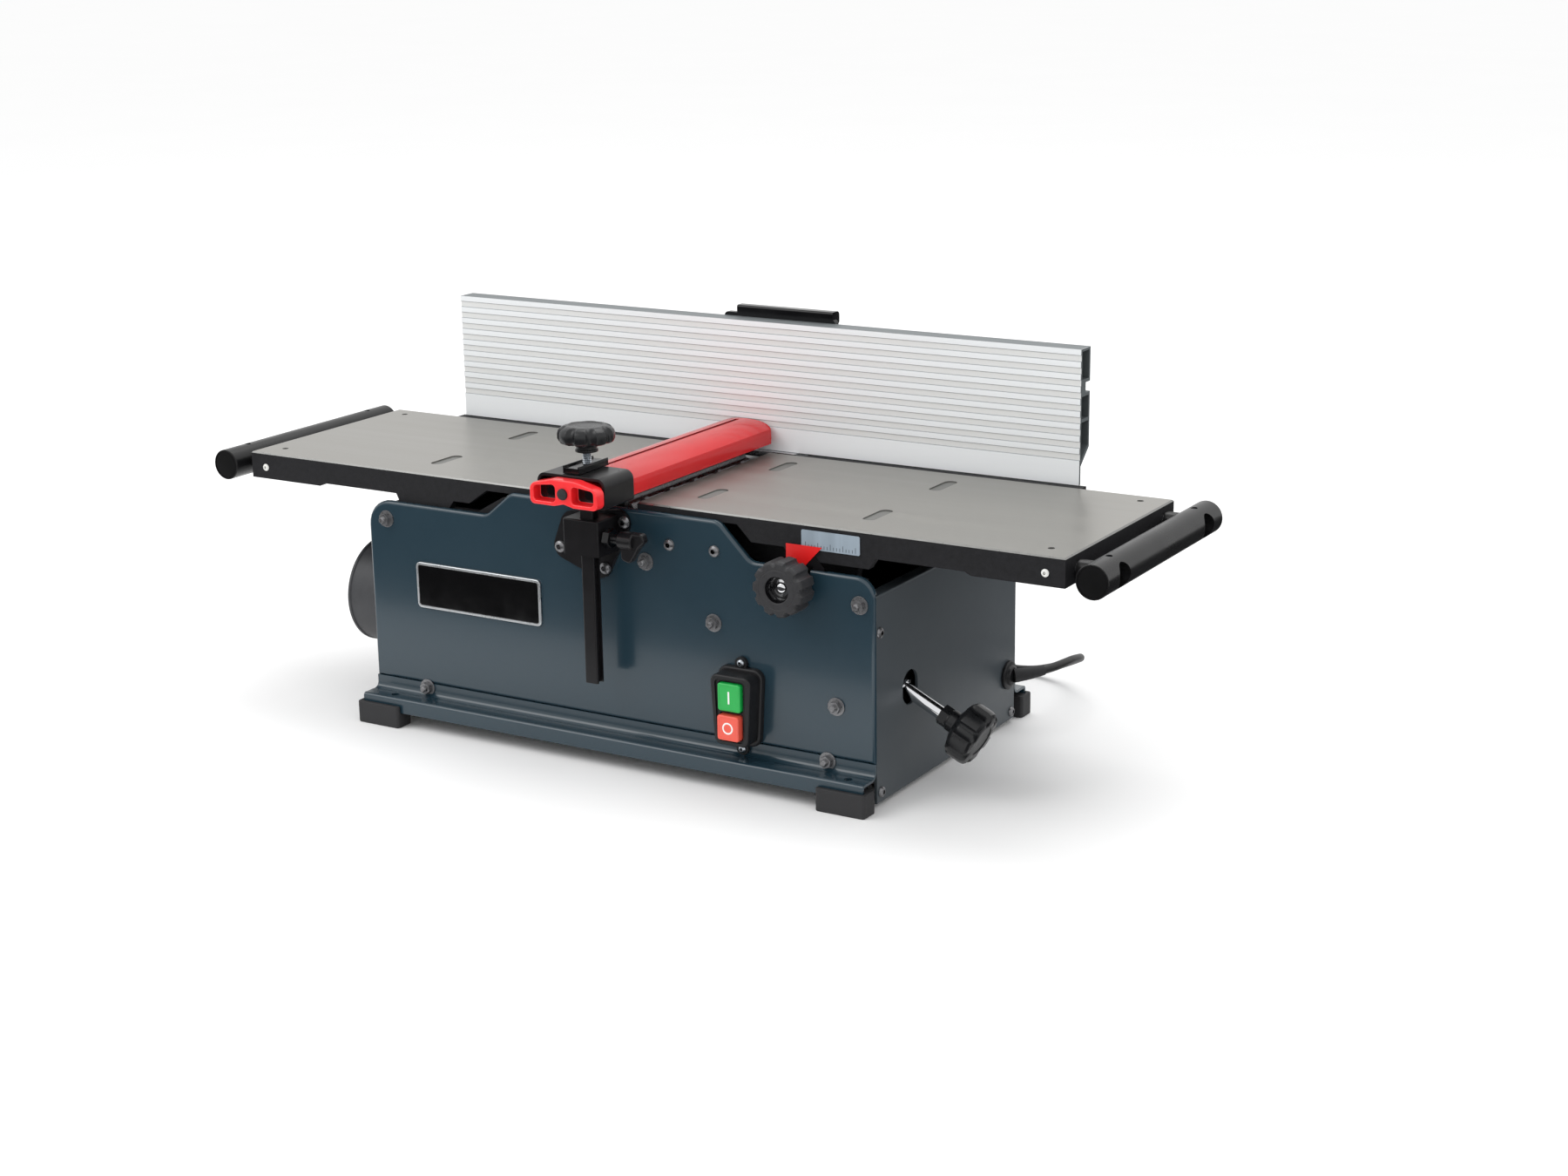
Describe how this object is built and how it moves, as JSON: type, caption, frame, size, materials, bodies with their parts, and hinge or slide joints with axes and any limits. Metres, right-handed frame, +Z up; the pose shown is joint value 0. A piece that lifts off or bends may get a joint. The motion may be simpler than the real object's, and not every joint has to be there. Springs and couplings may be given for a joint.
{
  "type": "benchtop jointer",
  "caption": "Benchtop jointer with two long tables, a ribbed tilting fence, a sliding red cutter guard on a post, a dust port and pull-out end bars on a sheet-metal case.",
  "frame": {"origin": "on the surface the machine stands on, under the middle of its bounding box, measured without the cord", "axes": "+X along the tables from the outfeed to the infeed end, +Y from the operator's side towards the fence, +Z up"},
  "size_m": [0.933, 0.4844, 0.372],
  "materials": {
    "case_paint": "gloss dark blue-grey paint",
    "end_paint": "satin grey paint",
    "cast_black": "black textured paint on casting",
    "table_iron": "ground top, black painted sides",
    "black_steel": "satin black",
    "bright_steel": "bright",
    "anodised": "matt anodised",
    "black_plastic": "moulded",
    "guard_red": "gloss",
    "rubber": "matt",
    "green": "satin",
    "red_button": "satin",
    "badge": "gloss, blank",
    "scale_tin": "printed tin, ticks only",
    "motor_grey": "satin",
    "cord_black": "matt"
  },
  "bodies": {
    "machine_frame": {"front_panel": "case_paint", "rear_panel": "case_paint", "left_end_panel": "end_paint", "right_end_panel": "end_paint", "base_frame": "cast_black", "foot_front_left": "rubber", "foot_front_right": "rubber", "foot_rear_left": "rubber", "foot_rear_right": "rubber", "name_badge": "badge", "switch_housing": "black_plastic", "dust_port": "black_plastic", "dust_chute": "black_plastic", "cord_gland": "black_plastic", "power_cord": "cord_black", "cord_coil": "cord_black", "cord_plug": "rubber", "outfeed_table": "table_iron", "infeed_way_front": "black_steel", "infeed_way_rear": "black_steel", "bearing_front": "bright_steel", "bearing_rear": "bright_steel", "motor_body": "motor_grey", "guard_post_block": "black_steel", "depth_pointer": "guard_red", "fence_rail": "bright_steel", "fence_rail_bracket": "cast_black", "drive_belt": "rubber"},
    "infeed_table_body": {"infeed_table": "table_iron", "depth_scale": "scale_tin", "depth_nut": "bright_steel", "lock_stud": "bright_steel"},
    "depth_screw_body": {"depth_screw": "bright_steel", "depth_adjust_knob": "black_plastic"},
    "lock_knob_body": {"depth_lock_knob": "black_plastic"},
    "guard_post_body": {"guard_post": "black_steel", "guard_sleeve": "black_steel", "guard_clamp_plate": "black_steel"},
    "guard_body": {"guard_bar": "guard_red", "guard_end_cap": "guard_red"},
    "guard_knob_body": {"guard_clamp_knob": "black_plastic"},
    "post_lever_body": {"guard_post_lever": "black_plastic"},
    "fence_carriage_body": {"fence_carriage": "black_steel", "fence_guide_key": "bright_steel"},
    "fence_body": {"fence": "anodised", "fence_bracket": "black_steel"},
    "tilt_lever_body": {"fence_tilt_lever": "black_plastic"},
    "slide_lever_body": {"fence_slide_lever": "black_plastic"},
    "outfeed_support_body": {"outfeed_support_bar": "black_steel", "outfeed_rod_front": "bright_steel", "outfeed_rod_rear": "bright_steel"},
    "infeed_support_body": {"infeed_support_bar": "black_steel", "infeed_rod_front": "bright_steel", "infeed_rod_rear": "bright_steel"},
    "cutterhead_body": {"cutterhead": "bright_steel", "cutter_pulley": "motor_grey"},
    "motor_rotor_body": {"motor_shaft": "bright_steel", "motor_pulley": "motor_grey"},
    "start_button_body": {"start_button": "green"},
    "stop_button_body": {"stop_button": "red_button"}
  },
  "joints": [
    {"name": "infeed_slide", "type": "slide", "parent": "machine_frame", "child": "infeed_table_body", "axis": [0.8988, 0, -0.4384], "range_m": [0, 0.0073]},
    {"name": "depth_screw_turn", "type": "hinge", "parent": "machine_frame", "child": "depth_screw_body", "pos_m": [0.256, -0.1134, 0.087], "axis": [0.8988, 0, -0.4384], "range_deg": [0, 1316]},
    {"name": "lock_knob_turn", "type": "hinge", "parent": "infeed_table_body", "child": "lock_knob_body", "pos_m": [0.181, -0.191, 0.191], "axis": [0, -1, 0], "range_deg": [-180, 180]},
    {"name": "guard_height", "type": "slide", "parent": "machine_frame", "child": "guard_post_body", "axis": [0, 0, 1], "range_m": [0, 0.09]},
    {"name": "guard_slide", "type": "slide", "parent": "guard_post_body", "child": "guard_body", "axis": [0, 1, 0], "range_m": [-0.14, 0]},
    {"name": "guard_knob_turn", "type": "hinge", "parent": "guard_post_body", "child": "guard_knob_body", "pos_m": [-0.012, -0.20075, 0.29], "axis": [0, 0, 1], "range_deg": [-180, 180]},
    {"name": "post_lever_turn", "type": "hinge", "parent": "machine_frame", "child": "post_lever_body", "pos_m": [0.02, -0.20075, 0.213], "axis": [1, 0, 0], "range_deg": [0, 90]},
    {"name": "fence_slide", "type": "slide", "parent": "machine_frame", "child": "fence_carriage_body", "axis": [0, 1, 0], "range_m": [-0.14, 0]},
    {"name": "fence_tilt", "type": "hinge", "parent": "fence_carriage_body", "child": "fence_body", "pos_m": [0, 0.0675, 0.2468], "axis": [-1, 0, 0], "range_deg": [0, 45]},
    {"name": "tilt_lever_turn", "type": "hinge", "parent": "fence_carriage_body", "child": "tilt_lever_body", "pos_m": [0.03, 0.091, 0.25], "axis": [0, 0, 1], "range_deg": [0, 60]},
    {"name": "slide_lever_turn", "type": "hinge", "parent": "fence_carriage_body", "child": "slide_lever_body", "pos_m": [0.015, 0.215, 0.255], "axis": [0, 0, 1], "range_deg": [0, 60]},
    {"name": "outfeed_support_slide", "type": "slide", "parent": "machine_frame", "child": "outfeed_support_body", "axis": [-1, 0, 0], "range_m": [0, 0.18]},
    {"name": "infeed_support_slide", "type": "slide", "parent": "infeed_table_body", "child": "infeed_support_body", "axis": [1, 0, 0], "range_m": [0, 0.18]},
    {"name": "cutterhead_spin", "type": "hinge", "parent": "machine_frame", "child": "cutterhead_body", "pos_m": [-0.004, -0.061, 0.2105], "axis": [0, 1, 0], "continuous": true},
    {"name": "motor_spin", "type": "hinge", "parent": "machine_frame", "child": "motor_rotor_body", "pos_m": [0.11, 0.059, 0.08], "axis": [0, 1, 0], "continuous": true},
    {"name": "start_button_press", "type": "slide", "parent": "machine_frame", "child": "start_button_body", "axis": [0, 1, 0], "range_m": [0, 0.003], "stiffness_N_per_m": 500, "springref_m": -0.004},
    {"name": "stop_button_press", "type": "slide", "parent": "machine_frame", "child": "stop_button_body", "axis": [0, 1, 0], "range_m": [0, 0.003], "stiffness_N_per_m": 500, "springref_m": -0.004}
  ],
  "couplings": [
    {"joint": "depth_screw_turn", "follows": "infeed_slide", "rad_per_m": 3141.6},
    {"joint": "guard_slide", "follows": "fence_slide", "ratio": 1},
    {"joint": "motor_spin", "follows": "cutterhead_spin", "ratio": 0.58333}
  ]
}
